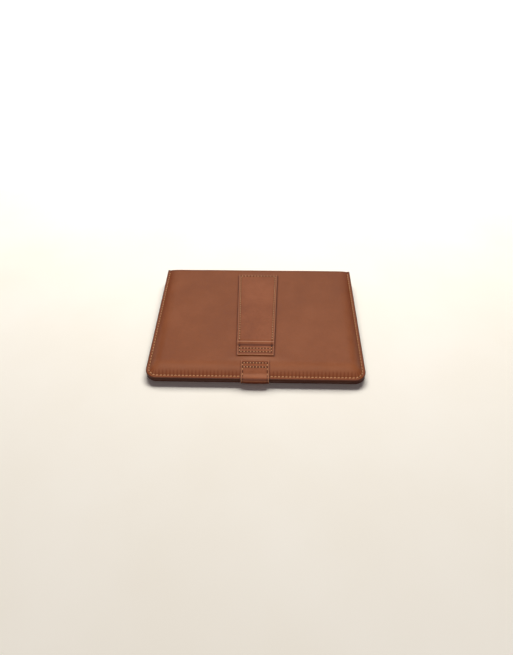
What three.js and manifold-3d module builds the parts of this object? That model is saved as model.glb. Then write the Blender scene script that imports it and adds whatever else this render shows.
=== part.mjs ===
// An e-reader closed up in its leather folio, lying on the folio's front cover.
// Millimetres, +Z up. X runs along the spine, -Y is the edge with the closure tab,
// the front cover rests on z = 0 and the back cover, with its stand flap, is on top.
import * as THREE from 'three';
import { mergeVertices } from 'three/addons/utils/BufferGeometryUtils.js';
import Module from 'manifold-3d';

const wasm = await Module();
wasm.setup();

// Folio
const FOLIO_WIDTH = 186;
const FOLIO_DEPTH = 134;
const CORNER_RADIUS = 10;
const TAB_BULGE = 1.6;
const NEAR = -(FOLIO_DEPTH + TAB_BULGE) / 2 + TAB_BULGE;
const SPINE_OUT = NEAR + FOLIO_DEPTH;
const COVER_FAR = SPINE_OUT - 2.2;
const HALF_WIDTH = FOLIO_WIDTH / 2;
const GLUE = 0.15;

// Front cover, from the table up
const FRONT_FLOOR = 1.4;
const FRONT_TOP = 2.5;
const FRONT_HEM = 3.2;

// Back cover: a thick sewn rim that rises over the reader as a moulded crown
const RIM_NEAR = 5.3;
const RIM_FAR = 12.4;
const RIM_THICKNESS = 2.5;
const CROWN = 13.1;
const SKIN = 1;
const SLOPE_START = 3;
const SLOPE_WIDTH = 12;
const SLOPE_FULLNESS = 2.2;
const BOARD_INSET = 15.2;
const BACK_BOARD = 0.6;
const LINING = 0.3;

// Spine and the two creases that it folds along
const CREASE_Y = SPINE_OUT - 1;
const LOWER_CREASE_Z = 1.4;
const UPPER_CREASE_Z = 12.2;

// Closure tab
const TAB_WIDTH = 23.4;
const TAB_THICKNESS = 0.9;
const TAB_ANCHOR = 13;
const TAB_REACH = 23;
const TAB_LINE_Y = NEAR - TAB_BULGE + TAB_THICKNESS / 2;
const TAB_FOLD_Z = 0.5;
const TAB_TOP_Z = RIM_NEAR + 0.75;

// Stand flap, measured from the near edge of the folio
const FLAP_SEWN = 19;
const FLAP_CREASE = 29.6;
const FLAP_END = 123;
const FLAP_NARROW = 31.6;
const FLAP_WIDE = 39.4;
const FLAP_TOP = CROWN + 2.3;

// Reader, screen down inside the folio
const READER_LENGTH = 165;
const READER_WIDTH = 114;
const READER_RADIUS = 9;
const READER_FACE = 3.2;
const READER_BACK = 10.8;
const BEZEL = 1.3;
const SHELL_WALL = 1.5;
const READER_Y = COVER_FAR - 3 - READER_WIDTH / 2;
const SCREEN_X = -8.3;
const KEY_PROUD = 0.3;
const KEY_DEPTH = 2;
const KEY_CLEARANCE = 0.25;

const folio = new THREE.Group();

function finish(color, roughness, metalness = 0) {
  return new THREE.MeshStandardMaterial({ color, roughness, metalness });
}

const LEATHER = finish(0x8f5a3f, 0.55);
const SUEDE = finish(0x6b4a3a, 0.95);
const FIBREBOARD = finish(0x8c8378, 0.9);
const ELASTIC = finish(0x2a2624, 0.85);
const GREY_PLASTIC = finish(0x4a4c50, 0.5);
const DARK_PLASTIC = finish(0x2c2d30, 0.55);
const SCREEN = finish(0xc9cbc4, 0.6);
const STEEL = finish(0xa8abae, 0.35, 1);
const MAGNET = finish(0x8f9296, 0.3, 1);
const ALLOY = finish(0x9ea2a6, 0.5, 1);
const SOLDER_MASK = finish(0x1f5a3a, 0.45);
const CELL_WRAP = finish(0xb9bcc0, 0.4);
const FOAM = finish(0x202020, 0.95);
const FLEX = finish(0xb5742a, 0.4);
const CHIP = finish(0x161616, 0.5);
const CLEAR = finish(0xe6eef0, 0.1);

function add(name, geometry, material) {
  const mesh = new THREE.Mesh(geometry, material);
  mesh.name = name;
  folio.add(mesh);
  return mesh;
}

// A closed three.js geometry as a solid that can be joined and cut
function solid(geometry) {
  const bare = geometry.clone();
  bare.deleteAttribute('normal');
  bare.deleteAttribute('uv');
  const welded = mergeVertices(bare, 1e-4);
  return new wasm.Manifold(new wasm.Mesh({
    numProp: 3,
    vertProperties: new Float32Array(welded.attributes.position.array),
    triVerts: new Uint32Array(welded.index.array),
  }));
}

function geometryOf(body) {
  const mesh = body.getMesh();
  const geometry = new THREE.BufferGeometry();
  geometry.setAttribute('position', new THREE.BufferAttribute(mesh.vertProperties, 3));
  geometry.setIndex(new THREE.BufferAttribute(mesh.triVerts, 1));
  return geometry;
}

function cut(geometry, tools) {
  return geometryOf(tools.reduce((body, tool) => body.subtract(solid(tool)), solid(geometry)));
}

function join(geometry, others) {
  return geometryOf(others.reduce((body, other) => body.add(solid(other)), solid(geometry)));
}

function block(x0, x1, y0, y1, z0, z1) {
  const geometry = new THREE.BoxGeometry(x1 - x0, y1 - y0, z1 - z0);
  return geometry.translate((x0 + x1) / 2, (y0 + y1) / 2, (z0 + z1) / 2);
}

// A rectangle with its own radius at each end of Y
function outline(x0, x1, y0, y1, nearRadius, farRadius = nearRadius) {
  const shape = new THREE.Shape();
  const quarter = Math.PI / 2;
  shape.moveTo(x0 + nearRadius, y0);
  shape.lineTo(x1 - nearRadius, y0);
  shape.absarc(x1 - nearRadius, y0 + nearRadius, nearRadius, -quarter, 0);
  shape.absarc(x1 - farRadius, y1 - farRadius, farRadius, 0, quarter);
  shape.absarc(x0 + farRadius, y1 - farRadius, farRadius, quarter, 2 * quarter);
  shape.absarc(x0 + nearRadius, y0 + nearRadius, nearRadius, 2 * quarter, 3 * quarter);
  return shape;
}

function slab(shape, z0, z1, curveSegments = 4) {
  const options = { depth: z1 - z0, bevelEnabled: false, curveSegments };
  return new THREE.ExtrudeGeometry(shape, options).translate(0, 0, z0);
}

function disc(radius, x, y, z0, z1, sides = 16) {
  const geometry = new THREE.CylinderGeometry(radius, radius, z1 - z0, sides);
  return geometry.rotateX(Math.PI / 2).translate(x, y, (z0 + z1) / 2);
}

function clamp(t) {
  return Math.min(Math.max(t, 0), 1);
}

function ease(t) {
  const s = clamp(t);
  return s * s * (3 - 2 * s);
}

// Rises fast at first and then levels off, like leather pulled over a filled edge
function swell(t) {
  return 1 - (1 - clamp(t)) ** SLOPE_FULLNESS;
}

// A sheet between two height functions; its rows are closer together at its near edge
function sheet({ columns, rows, y0, y1, halfWidth, top, bottom }) {
  const geometry = new THREE.BoxGeometry(2, 1, 1, columns, rows, 1);
  const place = geometry.attributes.position;
  for (let i = 0; i < place.count; i += 1) {
    const y = y0 + (y1 - y0) * (place.getY(i) + 0.5) ** 1.8;
    const x = halfWidth(y) * Math.sin(place.getX(i) * Math.PI / 2);
    const height = place.getZ(i) > 0 ? top : bottom;
    place.setXYZ(i, x, y, height(x, y));
  }
  return geometry;
}

// How far a point of the back cover lies from its nearest sewn edge
function fromRim(x, y) {
  return Math.min(HALF_WIDTH - Math.abs(x), y - NEAR);
}

function crown(x, y) {
  const along = clamp((y - NEAR) / (COVER_FAR - NEAR));
  const rim = RIM_NEAR + (RIM_FAR - RIM_NEAR) * along;
  const side = swell((HALF_WIDTH - Math.abs(x) - SLOPE_START) / SLOPE_WIDTH);
  const near = swell((y - NEAR - SLOPE_START) / SLOPE_WIDTH);
  return rim + (CROWN - rim) * side * near;
}

function skinUnderside(x, y) {
  const folded = (RIM_THICKNESS - SKIN) * (1 - ease((fromRim(x, y) - SLOPE_START) / 4));
  return crown(x, y) - SKIN - folded;
}

// Front cover
const coverShape = (inset) => outline(
  -HALF_WIDTH + inset, HALF_WIDTH - inset, NEAR + inset, COVER_FAR - inset,
  CORNER_RADIUS - inset, 0.5,
);
const tabRecess = block(
  -TAB_WIDTH / 2 - 0.5, TAB_WIDTH / 2 + 0.5, NEAR - 1, NEAR + TAB_REACH + 0.5, -1, 1.1,
);
const frontPocket = slab(coverShape(FRONT_HEM), FRONT_FLOOR, FRONT_TOP + 1);
add('front_cover_leather', cut(slab(coverShape(0), 0, FRONT_TOP, 8), [frontPocket, tabRecess]), LEATHER);

const keeperY = NEAR + TAB_REACH - 7;
const keeper = (grow) => block(
  -10 - grow, 10 + grow, keeperY - 5 - grow, keeperY + 5 + grow, 1.55 - grow, 2.05 + grow,
);
add('front_cover_board', cut(slab(coverShape(FRONT_HEM + GLUE), 1.5, 2.1), [keeper(0.3)]), FIBREBOARD);
add('front_cover_lining', slab(coverShape(FRONT_HEM + GLUE), 2.2, FRONT_TOP), SUEDE);
add('tab_keeper_plate', keeper(0), STEEL);

// Spine: three upright layers between the creases, lower at the ends like the back cover
const SPINE_TOP = UPPER_CREASE_Z - 0.5;
const SPINE_FOOT = LOWER_CREASE_Z + 0.5;
function spineLayer(inset, y0, y1) {
  const half = HALF_WIDTH - 0.5 - inset;
  const shape = new THREE.Shape();
  shape.moveTo(-half, SPINE_FOOT + inset);
  shape.lineTo(half, SPINE_FOOT + inset);
  shape.lineTo(half, RIM_FAR - 1.3 - inset);
  shape.lineTo(half - 10, SPINE_TOP - inset);
  shape.lineTo(-half + 10, SPINE_TOP - inset);
  shape.lineTo(-half, RIM_FAR - 1.3 - inset);
  const options = { depth: y1 - y0, bevelEnabled: false };
  return new THREE.ExtrudeGeometry(shape, options).rotateX(Math.PI / 2).translate(0, y1, 0);
}
add('spine_leather', spineLayer(0, SPINE_OUT - 0.9, SPINE_OUT), LEATHER);
add('spine_stiffener', spineLayer(1.5, SPINE_OUT - 1.45, SPINE_OUT - 1.05), FIBREBOARD);
add('spine_lining', spineLayer(0.3, SPINE_OUT - 1.9, SPINE_OUT - 1.6), SUEDE);

// Back cover
function coverHalfWidth(y) {
  const run = clamp((y - NEAR) / CORNER_RADIUS);
  return HALF_WIDTH - CORNER_RADIUS + CORNER_RADIUS * Math.sqrt(1 - (1 - run) ** 2);
}
add('back_cover_leather', sheet({
  columns: 30,
  rows: 24,
  y0: NEAR,
  y1: COVER_FAR,
  halfWidth: coverHalfWidth,
  top: crown,
  bottom: skinUnderside,
}), LEATHER);

const flapKeeperY = NEAR + FLAP_END - 10;
const boardTop = CROWN - SKIN - GLUE;
const flapKeeper = (grow) => block(
  -9 - grow, 9 + grow, flapKeeperY - 4 - grow, flapKeeperY + 4 + grow,
  boardTop - 0.55 - grow, boardTop - 0.05 + grow,
);
const boardOutline = outline(
  -HALF_WIDTH + BOARD_INSET, HALF_WIDTH - BOARD_INSET, NEAR + BOARD_INSET, COVER_FAR - 1, 4, 1,
);
const backBoard = slab(boardOutline, boardTop - BACK_BOARD, boardTop);
add('back_cover_board', cut(backBoard, [flapKeeper(0.3)]), FIBREBOARD);
add('flap_keeper_plate', flapKeeper(0), STEEL);

// The lining hangs clear of the slopes and lies on the board in the middle
const LINING_SLACK = 1;
function liningTop(x, y) {
  const underBoard = (BACK_BOARD + 0.25 - LINING_SLACK) * ease((fromRim(x, y) - BOARD_INSET + 3) / 3);
  return skinUnderside(x, y) - LINING_SLACK - underBoard;
}
const LINING_INSET = 10;
add('back_cover_lining', sheet({
  columns: 26,
  rows: 18,
  y0: NEAR + LINING_INSET,
  y1: COVER_FAR - 0.4,
  halfWidth: () => HALF_WIDTH - LINING_INSET,
  top: liningTop,
  bottom: (x, y) => liningTop(x, y) - LINING,
}), SUEDE);

// Closure tab: sewn to the back cover, over the near edge and under the front cover
const TAB_HALF = TAB_WIDTH / 2;
const TAB_LIFT = 0.3;
add('tab_anchor', sheet({
  columns: 4,
  rows: 9,
  y0: TAB_LINE_Y + TAB_THICKNESS / 2 + 0.05,
  y1: NEAR + TAB_ANCHOR,
  halfWidth: () => TAB_HALF,
  top: (x, y) => crown(x, y) + TAB_LIFT + TAB_THICKNESS,
  bottom: (x, y) => crown(x, y) + TAB_LIFT,
}), LEATHER);
const riserShape = outline(-TAB_HALF, TAB_HALF, TAB_FOLD_Z + 0.7, TAB_TOP_Z - 0.55, 0.4);
const riserOptions = { depth: TAB_THICKNESS, bevelEnabled: false, curveSegments: 2 };
const riser = new THREE.ExtrudeGeometry(riserShape, riserOptions).rotateX(Math.PI / 2);
add('tab_riser', riser.translate(0, TAB_LINE_Y + TAB_THICKNESS / 2, 0), LEATHER);

const TIP_RADIUS = 5;
const TAB_MAGNET_RADIUS = 6;
const tipShape = outline(
  -TAB_HALF, TAB_HALF, TAB_LINE_Y + TAB_THICKNESS / 2, NEAR + TAB_REACH, 0.4, TIP_RADIUS,
);
const magnetRecess = disc(TAB_MAGNET_RADIUS + 0.2, 0, keeperY, 0.38, 1.2);
add('tab_tip', cut(slab(tipShape, 0.1, 0.9), [magnetRecess]), LEATHER);
add('tab_magnet', disc(TAB_MAGNET_RADIUS, 0, keeperY, 0.48, 0.85), MAGNET);

// Stand flap: a stiff leather leg, narrow at its crease and wide at its free end
function flapOutline(from, to, inset) {
  const half = (distance) => {
    const along = (distance - FLAP_SEWN) / (FLAP_END - FLAP_SEWN);
    return (FLAP_NARROW + (FLAP_WIDE - FLAP_NARROW) * along) / 2 - inset;
  };
  const shape = new THREE.Shape();
  shape.moveTo(-half(from), NEAR + from);
  shape.lineTo(half(from), NEAR + from);
  shape.lineTo(half(to), NEAR + to);
  shape.lineTo(-half(to), NEAR + to);
  return shape;
}
const FLAP_START = FLAP_CREASE + 0.5;
const FLAP_HEM = 3.5;
const FLAP_ROLL = 1.2;
const FLAP_CORE = [CROWN + 0.9, CROWN + 1.35];
const flapAnchor = flapOutline(FLAP_SEWN, FLAP_CREASE - 0.4, 0);
add('flap_anchor', slab(flapAnchor, CROWN + 0.3, CROWN + 1.3), LEATHER);
const flapPocket = slab(
  flapOutline(FLAP_START + 5, FLAP_END - FLAP_HEM, FLAP_HEM), CROWN, CROWN + 1.5,
);
const creaseRoll = new THREE.CylinderGeometry(FLAP_ROLL, FLAP_ROLL, FLAP_NARROW - 3, 12)
  .rotateZ(Math.PI / 2).translate(0, NEAR + FLAP_CREASE + 3, FLAP_TOP - 0.2);
const flapPlate = slab(flapOutline(FLAP_START, FLAP_END, 0), CROWN + 0.85, FLAP_TOP);
add('flap_leather', cut(join(flapPlate, [creaseRoll]), [flapPocket]), LEATHER);
const flapLining = flapOutline(FLAP_START, FLAP_END, 0);
add('flap_lining', slab(flapLining, CROWN + 0.3, CROWN + 0.7), SUEDE);
const flapStiffener = flapOutline(FLAP_START + 5.5, FLAP_END - 18, FLAP_HEM + 0.5);
add('flap_stiffener', slab(flapStiffener, ...FLAP_CORE), FIBREBOARD);
add('flap_magnet', block(-8, 8, flapKeeperY - 3, flapKeeperY + 3, ...FLAP_CORE), MAGNET);

// Reader: its shells. Everything is drawn centred, then moved to the reader's middle.
const reader = new THREE.Group();
reader.position.y = READER_Y;
folio.add(reader);

function fit(name, geometry, material) {
  const mesh = new THREE.Mesh(geometry, material);
  mesh.name = name;
  reader.add(mesh);
  return mesh;
}

function centred(length, width, radius) {
  return outline(-length / 2, length / 2, -width / 2, width / 2, radius);
}

// A rounded plate whose back edges are curved over; the curve at its front is cut away
function shellForm(inset, z0, z1, turn) {
  const less = 2 * (inset + turn);
  const radius = READER_RADIUS - inset - turn / 2;
  const shape = centred(READER_LENGTH - less, READER_WIDTH - less, radius);
  const form = new THREE.ExtrudeGeometry(shape, {
    depth: z1 - z0,
    bevelThickness: turn * 0.8,
    bevelSize: turn,
    bevelSegments: 4,
    curveSegments: 4,
  });
  return form.translate(0, 0, z0 - turn * 0.8);
}

const rearTurn = 4.4;
const rearFloor = READER_FACE + BEZEL + 0.2;
const outerForm = shellForm(0, rearFloor, READER_BACK, rearTurn);
const innerForm = shellForm(SHELL_WALL, rearFloor - 4, READER_BACK - 1.1, rearTurn);
const belowShell = block(-READER_LENGTH, READER_LENGTH, -READER_WIDTH, READER_WIDTH, -9, rearFloor);
const WALL_X = READER_LENGTH / 2;
const socketY = -8;
const powerY = 18;
const socketHole = block(WALL_X - 4, WALL_X + 1, socketY - 4.2, socketY + 4.2, 5.3, 8.3);
const powerHole = block(WALL_X - 4, WALL_X + 1, powerY - 5.3, powerY + 5.3, 5.5, 8.1);
const lensHole = disc(1.1, 0, 0, -4, 4, 10).rotateY(Math.PI / 2).translate(WALL_X - 1, 4, 6.8);
const shellCuts = [belowShell, innerForm, socketHole, powerHole, lensHole];
fit('reader_rear_shell', cut(outerForm, shellCuts), GREY_PLASTIC);

// Front bezel, with its window and a hole for each key
const keys = [
  { name: 'page_key_near_forward', x: -18, y: -51.6, length: 26, width: 4 },
  { name: 'page_key_near_back', x: 10, y: -51.6, length: 14, width: 4 },
  { name: 'page_key_far_forward', x: -18, y: 51.6, length: 26, width: 4 },
  { name: 'page_key_far_back', x: 10, y: 51.6, length: 14, width: 4 },
  { name: 'back_key', x: 67.5, y: -30, length: 5, width: 12 },
  { name: 'home_key', x: 67.5, y: -14.5, length: 5, width: 12 },
  { name: 'pad_key', x: 67.5, y: 2, length: 11, width: 11 },
  { name: 'menu_key', x: 67.5, y: 18.5, length: 5, width: 12 },
];
const KEY_RADIUS = 1.6;
function keyShape({ x, y, length, width }, grow) {
  const halfLength = length / 2 + grow;
  const halfWidth = width / 2 + grow;
  return outline(
    x - halfLength, x + halfLength, y - halfWidth, y + halfWidth, KEY_RADIUS + grow,
  );
}
const bezelShape = centred(READER_LENGTH, READER_WIDTH, READER_RADIUS);
const screenWindow = outline(SCREEN_X - 61.2, SCREEN_X + 61.2, -45.3, 45.3, 1);
bezelShape.holes.push(screenWindow);
keys.forEach((key) => bezelShape.holes.push(keyShape(key, KEY_CLEARANCE)));
fit('reader_bezel', slab(bezelShape, READER_FACE, READER_FACE + BEZEL, 3), GREY_PLASTIC);
const keyFront = READER_FACE - KEY_PROUD;
keys.forEach((key) => {
  fit(key.name, slab(keyShape(key, 0), keyFront, keyFront + KEY_DEPTH, 3), DARK_PLASTIC);
});
const powerShape = outline(powerY - 5, powerY + 5, 5.8, 7.8, 0.9);
const powerOptions = { depth: 2.2, bevelEnabled: false, curveSegments: 3 };
const powerKey = new THREE.ExtrudeGeometry(powerShape, powerOptions)
  .rotateX(Math.PI / 2).rotateZ(Math.PI / 2);
fit('power_key', powerKey.translate(WALL_X - 1.9, 0, 0), DARK_PLASTIC);

// Screen and the frame that carries everything
const gasketShape = outline(SCREEN_X - 63.8, SCREEN_X + 63.8, -47.8, 47.8, 1);
gasketShape.holes.push(outline(SCREEN_X - 61.8, SCREEN_X + 61.8, -45.8, 45.8, 1));
fit('screen_gasket', slab(gasketShape, 4.6, 4.85, 2), FOAM);
fit('screen_panel', slab(outline(SCREEN_X - 64, SCREEN_X + 64, -48, 48, 0.6), 5, 6, 2), SCREEN);

const frameZ = 6.15;
const frameTop = 6.95;
const cellWindow = outline(-73, -9, -39, 39, 2);
const flexSlot = outline(57, 59.4, -21, 21, 0.5);
const screwPlaces = [[2, -41], [2, 41], [70, -41], [70, 41]];
const frameShape = centred(150, 106, 5);
frameShape.holes.push(cellWindow, flexSlot);
const screwHoles = screwPlaces.map(([x, y]) => disc(1, x, y, 0, 12, 10));
fit('inner_frame', cut(slab(frameShape, frameZ, frameTop, 3), screwHoles), ALLOY);
fit('battery', slab(outline(-72.4, -9.6, -38.4, 38.4, 2), frameZ, 9.2, 2), CELL_WRAP);

const boardZ = 7.4;
const boardSurface = boardZ + 0.8;
const boardForm = slab(outline(-3, 73.5, -45, 45, 1.5), boardZ, boardSurface, 2);
fit('main_board', cut(boardForm, screwHoles), SOLDER_MASK);
const shieldZ = boardSurface + 0.1;
const canHollow = block(10.4, 35.6, -15.6, 9.6, shieldZ - 1, shieldZ + 0.75);
fit('shield_can', cut(block(10, 36, -16, 10, shieldZ, shieldZ + 1), [canHollow]), STEEL);
fit('memory_chip', block(42, 54, 12, 26, shieldZ, shieldZ + 0.9), CHIP);
screwPlaces.forEach(([x, y], index) => {
  const shank = disc(0.75, x, y, frameZ + 0.1, shieldZ + 0.2, 10);
  const head = disc(1.6, x, y, shieldZ, shieldZ + 0.7, 10);
  fit(`board_screw_${index + 1}`, join(head, [shank]), STEEL);
});

// The ribbon runs from the screen's end, through the frame, to the main board
const ribbon = new THREE.Shape();
ribbon.moveTo(56, 5.5);
ribbon.lineTo(58.7, 5.5);
ribbon.lineTo(58.7, 7.25);
ribbon.lineTo(50, 7.25);
ribbon.lineTo(50, 7.1);
ribbon.lineTo(58.5, 7.1);
ribbon.lineTo(58.5, 5.7);
ribbon.lineTo(56, 5.7);
const ribbonForm = new THREE.ExtrudeGeometry(ribbon, { depth: 36, bevelEnabled: false });
fit('screen_ribbon', ribbonForm.rotateX(Math.PI / 2).translate(0, 18, 0), FLEX);

// Switch boards under the keys, the charging socket and its light
const switchZ = 5.3;
function switchBoard(name, x0, x1, y0, y1) {
  fit(name, slab(outline(x0, x1, y0, y1, 0.8), switchZ, switchZ + 0.5, 2), SOLDER_MASK);
}
switchBoard('keypad_board', 60.6, 76, -38, 28);
switchBoard('page_board_near', -33, 19, -53.8, -49.4);
switchBoard('page_board_far', -33, 19, 49.4, 53.8);

const socketBody = block(WALL_X - 6.5, WALL_X - 0.4, socketY - 3.8, socketY + 3.8, 5.55, 8.05);
const socketMouth = block(WALL_X - 5.8, WALL_X + 1, socketY - 3.4, socketY + 3.4, 5.9, 7.7);
fit('charging_socket', cut(socketBody, [socketMouth]), STEEL);
const lens = disc(0.85, 0, 0, -1.4, 1.4, 10).rotateY(Math.PI / 2);
fit('charge_light_lens', lens.translate(WALL_X - 1.5, 4, 6.8), CLEAR);

// Four elastic loops hold the reader's corners down on the back cover's lining
const loopWidth = 9;
const loopFromCorner = 17;
const bandZ = READER_FACE - 0.5;
const bandThickness = 0.35;
const loopTop = 8.4;
const around = (grow) => centred(
  READER_LENGTH + 2 * grow, READER_WIDTH + 2 * grow, READER_RADIUS + grow,
);
const loopOuter = solid(slab(around(0.85), bandZ, loopTop));
const loopInner = solid(slab(around(0.3), bandZ + bandThickness, loopTop + 1));
const loopRing = loopOuter.subtract(loopInner);
const readerCorners = [
  [-1, -1, 'near_left'],
  [1, -1, 'near_right'],
  [-1, 1, 'far_left'],
  [1, 1, 'far_right'],
];
readerCorners.forEach(([sx, sy, place]) => {
  const reach = loopFromCorner / Math.SQRT2;
  const x = sx * (READER_LENGTH / 2 - reach);
  const y = sy * (READER_WIDTH / 2 - reach);
  const strip = new THREE.BoxGeometry(80, loopWidth, 20)
    .rotateZ(-sx * sy * Math.PI / 4).translate(x, y, bandZ);
  fit(`corner_loop_${place}`, geometryOf(loopRing.intersect(solid(strip))), ELASTIC);
});

export default folio;
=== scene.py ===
import math

import bmesh
import bpy
import numpy as np
from mathutils import Matrix, Vector


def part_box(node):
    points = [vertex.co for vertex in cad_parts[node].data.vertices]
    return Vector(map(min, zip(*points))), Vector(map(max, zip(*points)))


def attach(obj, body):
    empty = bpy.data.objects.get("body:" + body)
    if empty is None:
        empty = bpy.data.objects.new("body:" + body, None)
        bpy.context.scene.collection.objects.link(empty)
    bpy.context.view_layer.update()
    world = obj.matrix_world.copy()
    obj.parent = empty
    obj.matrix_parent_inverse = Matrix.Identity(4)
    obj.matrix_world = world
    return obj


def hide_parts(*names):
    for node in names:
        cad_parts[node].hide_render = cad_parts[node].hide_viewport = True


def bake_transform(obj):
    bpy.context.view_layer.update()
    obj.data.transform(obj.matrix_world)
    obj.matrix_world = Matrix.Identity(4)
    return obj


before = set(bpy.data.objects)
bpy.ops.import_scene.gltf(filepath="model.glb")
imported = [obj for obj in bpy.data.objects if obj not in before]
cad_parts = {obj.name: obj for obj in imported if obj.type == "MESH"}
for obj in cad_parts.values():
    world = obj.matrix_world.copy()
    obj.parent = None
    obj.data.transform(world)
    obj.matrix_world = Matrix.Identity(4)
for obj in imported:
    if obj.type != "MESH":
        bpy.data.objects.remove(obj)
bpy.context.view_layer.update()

# Table, light and camera.
# The closed folio lies on a pale table. A broad soft light stands low behind the table, so the short
# shadow falls towards the viewer; the folio has its own light from behind and a soft fill from the front.
MM = 0.001
scene = bpy.context.scene
scene.view_settings.view_transform = "Standard"


def linear(hex_colour):
    """An sRGB hex colour as the linear RGBA that a shader takes."""
    parts = [int(hex_colour[i:i + 2], 16) / 255 for i in (1, 3, 5)]
    return (*[c / 12.92 if c <= 0.04045 else ((c + 0.055) / 1.055) ** 2.4 for c in parts], 1)


def put(tree, kind, inputs=None, **settings):
    """Adds a node with its settings, and fills or links its inputs by name or number."""
    made = tree.nodes.new(kind)
    for name, value in settings.items():
        setattr(made, name, value)
    for name, value in (inputs or {}).items():
        socket = made.inputs[name]
        if isinstance(value, bpy.types.NodeSocket):
            tree.links.new(value, socket)
        else:
            socket.default_value = value
    return made


def surface(name, **values):
    """A new material: its node tree, its principled shader and its place in the object, in mm."""
    made = bpy.data.materials.new(name)
    made.use_nodes = True
    tree = made.node_tree
    shader = tree.nodes["Principled BSDF"]
    for socket, value in values.items():
        shader.inputs[socket.replace("_", " ")].default_value = value
    place = put(tree, "ShaderNodeTexCoord").outputs["Object"]
    in_mm = put(tree, "ShaderNodeVectorMath", {0: place, "Scale": 1 / MM}, operation="SCALE").outputs[0]
    return made, tree, shader, in_mm


def ramp(tree, factor, stops):
    """A colour ramp through (position, hex colour) stops."""
    made = put(tree, "ShaderNodeValToRGB", {"Fac": factor})
    band = made.color_ramp
    for position, colour in stops[1:-1]:
        band.elements.new(position).color = linear(colour)
    for element, (position, colour) in ((band.elements[0], stops[0]), (band.elements[-1], stops[-1])):
        element.position = position
        element.color = linear(colour)
    return made.outputs["Color"]


def bump(tree, shader, height, depth):
    """Raises the surface by height, at depth mm where it is 1."""
    made = put(tree, "ShaderNodeBump", {"Height": height, "Strength": 1, "Distance": depth * MM})
    tree.links.new(made.outputs["Normal"], shader.inputs["Normal"])


# Matt paper-white laminate: a flat pale ground with the faintest mottling.
laminate, tree, shader, mm = surface("matt_laminate_table", Roughness=0.7)
mottle = put(tree, "ShaderNodeTexNoise", {"Vector": mm, "Scale": 0.01, "Detail": 3})
tone = ramp(tree, mottle.outputs["Fac"], [(0.3, "#F8F4EA"), (0.7, "#FBF8F0")])
tree.links.new(tone, shader.inputs["Base Color"])

TABLE = 3.0
table = bpy.data.objects.new("table", bpy.data.meshes.new("table"))
corners = [(-TABLE, -TABLE, 0), (TABLE, -TABLE, 0), (TABLE, TABLE, 0), (-TABLE, TABLE, 0)]
table.data.from_pydata(corners, [], [(0, 1, 2, 3)])
table.data.materials.append(laminate)
scene.collection.objects.link(table)


def lamp(name, place, size, power, colour):
    """A rectangular soft light that faces the middle of the table."""
    light = bpy.data.lights.new(name, "AREA")
    light.shape = "RECTANGLE"
    light.size, light.size_y = size
    light.energy = power
    light.color = linear(colour)[:3]
    made = bpy.data.objects.new(name, light)
    made.location = place
    made.rotation_euler = (-Vector(place)).to_track_quat("-Z", "Y").to_euler()
    scene.collection.objects.link(made)
    return made


window = lamp("window_light", (0.05, 1.15, 1.65), (1.6, 0.5), 21, "#FFFBF2")
table_light = lamp("light_on_table", (0.05, 1.58, 1.22), (1.6, 0.5), 66, "#FFFCF5")
fill = lamp("front_fill", (-0.15, -0.85, 1.05), (1.3, 0.9), 14.5, "#FFF6EA")
for light, state in ((window, "EXCLUDE"), (table_light, "INCLUDE"), (fill, "EXCLUDE")):
    lit = bpy.data.collections.new(f"{light.name}_on_table")
    lit.objects.link(table)
    lit.collection_objects[0].light_linking.link_state = state
    light.light_linking.receiver_collection = lit
# Pale walls under a dimmer ceiling.
world = bpy.data.worlds.new("room")
world.use_nodes = True
room = world.node_tree
facing = put(room, "ShaderNodeSeparateXYZ", {0: put(room, "ShaderNodeTexCoord").outputs["Generated"]})
walls = ramp(room, facing.outputs["Z"], [(0.08, "#FAF8F3"), (0.2, "#60585B")])
room.links.new(walls, room.nodes["Background"].inputs["Color"])
scene.world = world

CAMERA_AIM = Vector((0, 0, 0.007))
CAMERA_DISTANCE = 0.4205
CAMERA_AZIMUTH = math.radians(2.0)
CAMERA_ELEVATION = math.radians(45.5)
CAMERA_ROLL = math.radians(-0.74)
backwards = Vector((
    math.sin(CAMERA_AZIMUTH) * math.cos(CAMERA_ELEVATION),
    -math.cos(CAMERA_AZIMUTH) * math.cos(CAMERA_ELEVATION),
    math.sin(CAMERA_ELEVATION),
))
camera = bpy.data.objects.new("camera", bpy.data.cameras.new("camera"))
camera.data.sensor_fit = "AUTO"
camera.data.sensor_width = 36
camera.data.lens = 24.82
camera.data.shift_x = -0.0005
camera.data.shift_y = -0.0101
turn = backwards.to_track_quat("Z", "Y").to_matrix().to_4x4()
camera.matrix_world = (
    Matrix.Translation(CAMERA_AIM + backwards * CAMERA_DISTANCE)
    @ turn @ Matrix.Rotation(CAMERA_ROLL, 4, "Z")
)
scene.collection.objects.link(camera)
scene.camera = camera


# Back cover leather.
# One piece of plated cowhide, moulded over the board and the reader, folded and sewn along its rim, and
# carried over the far crease down to the middle of the spine.
def span(node):
    """The low and high corners of a CAD piece, in mm."""
    low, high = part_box(node)
    return np.array(low) / MM, np.array(high) / MM


cover_low, cover_high = span("back_cover_leather")
HALF_WIDTH = cover_high[0]
NEAR = cover_low[1]
COVER_FAR = cover_high[1]
SPINE_OUT = span("spine_leather")[1][1]
CROWN = cover_high[2]
RIM_NEAR = 5.3
RIM_FAR = 12.4
RIM_THICKNESS = 2.5
SKIN = 1.0
SLOPE_START = 2.8
SLOPE_WIDTH = 12.0
SLOPE_FULLNESS = 2.2
CORNER_RADIUS = 10.0
CREASE_RADIUS = 1.9
SPINE_MIDDLE = 6.8
SEAM_INSET = 2.7
PITCH = 3.1
SEAM_RADIUS = CORNER_RADIUS - SEAM_INSET
SEAM_STRAIGHT = HALF_WIDTH - CORNER_RADIUS


def ease(t):
    """A smooth step from 0 to 1."""
    t = np.clip(t, 0, 1)
    return t * t * (3 - 2 * t)


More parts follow.
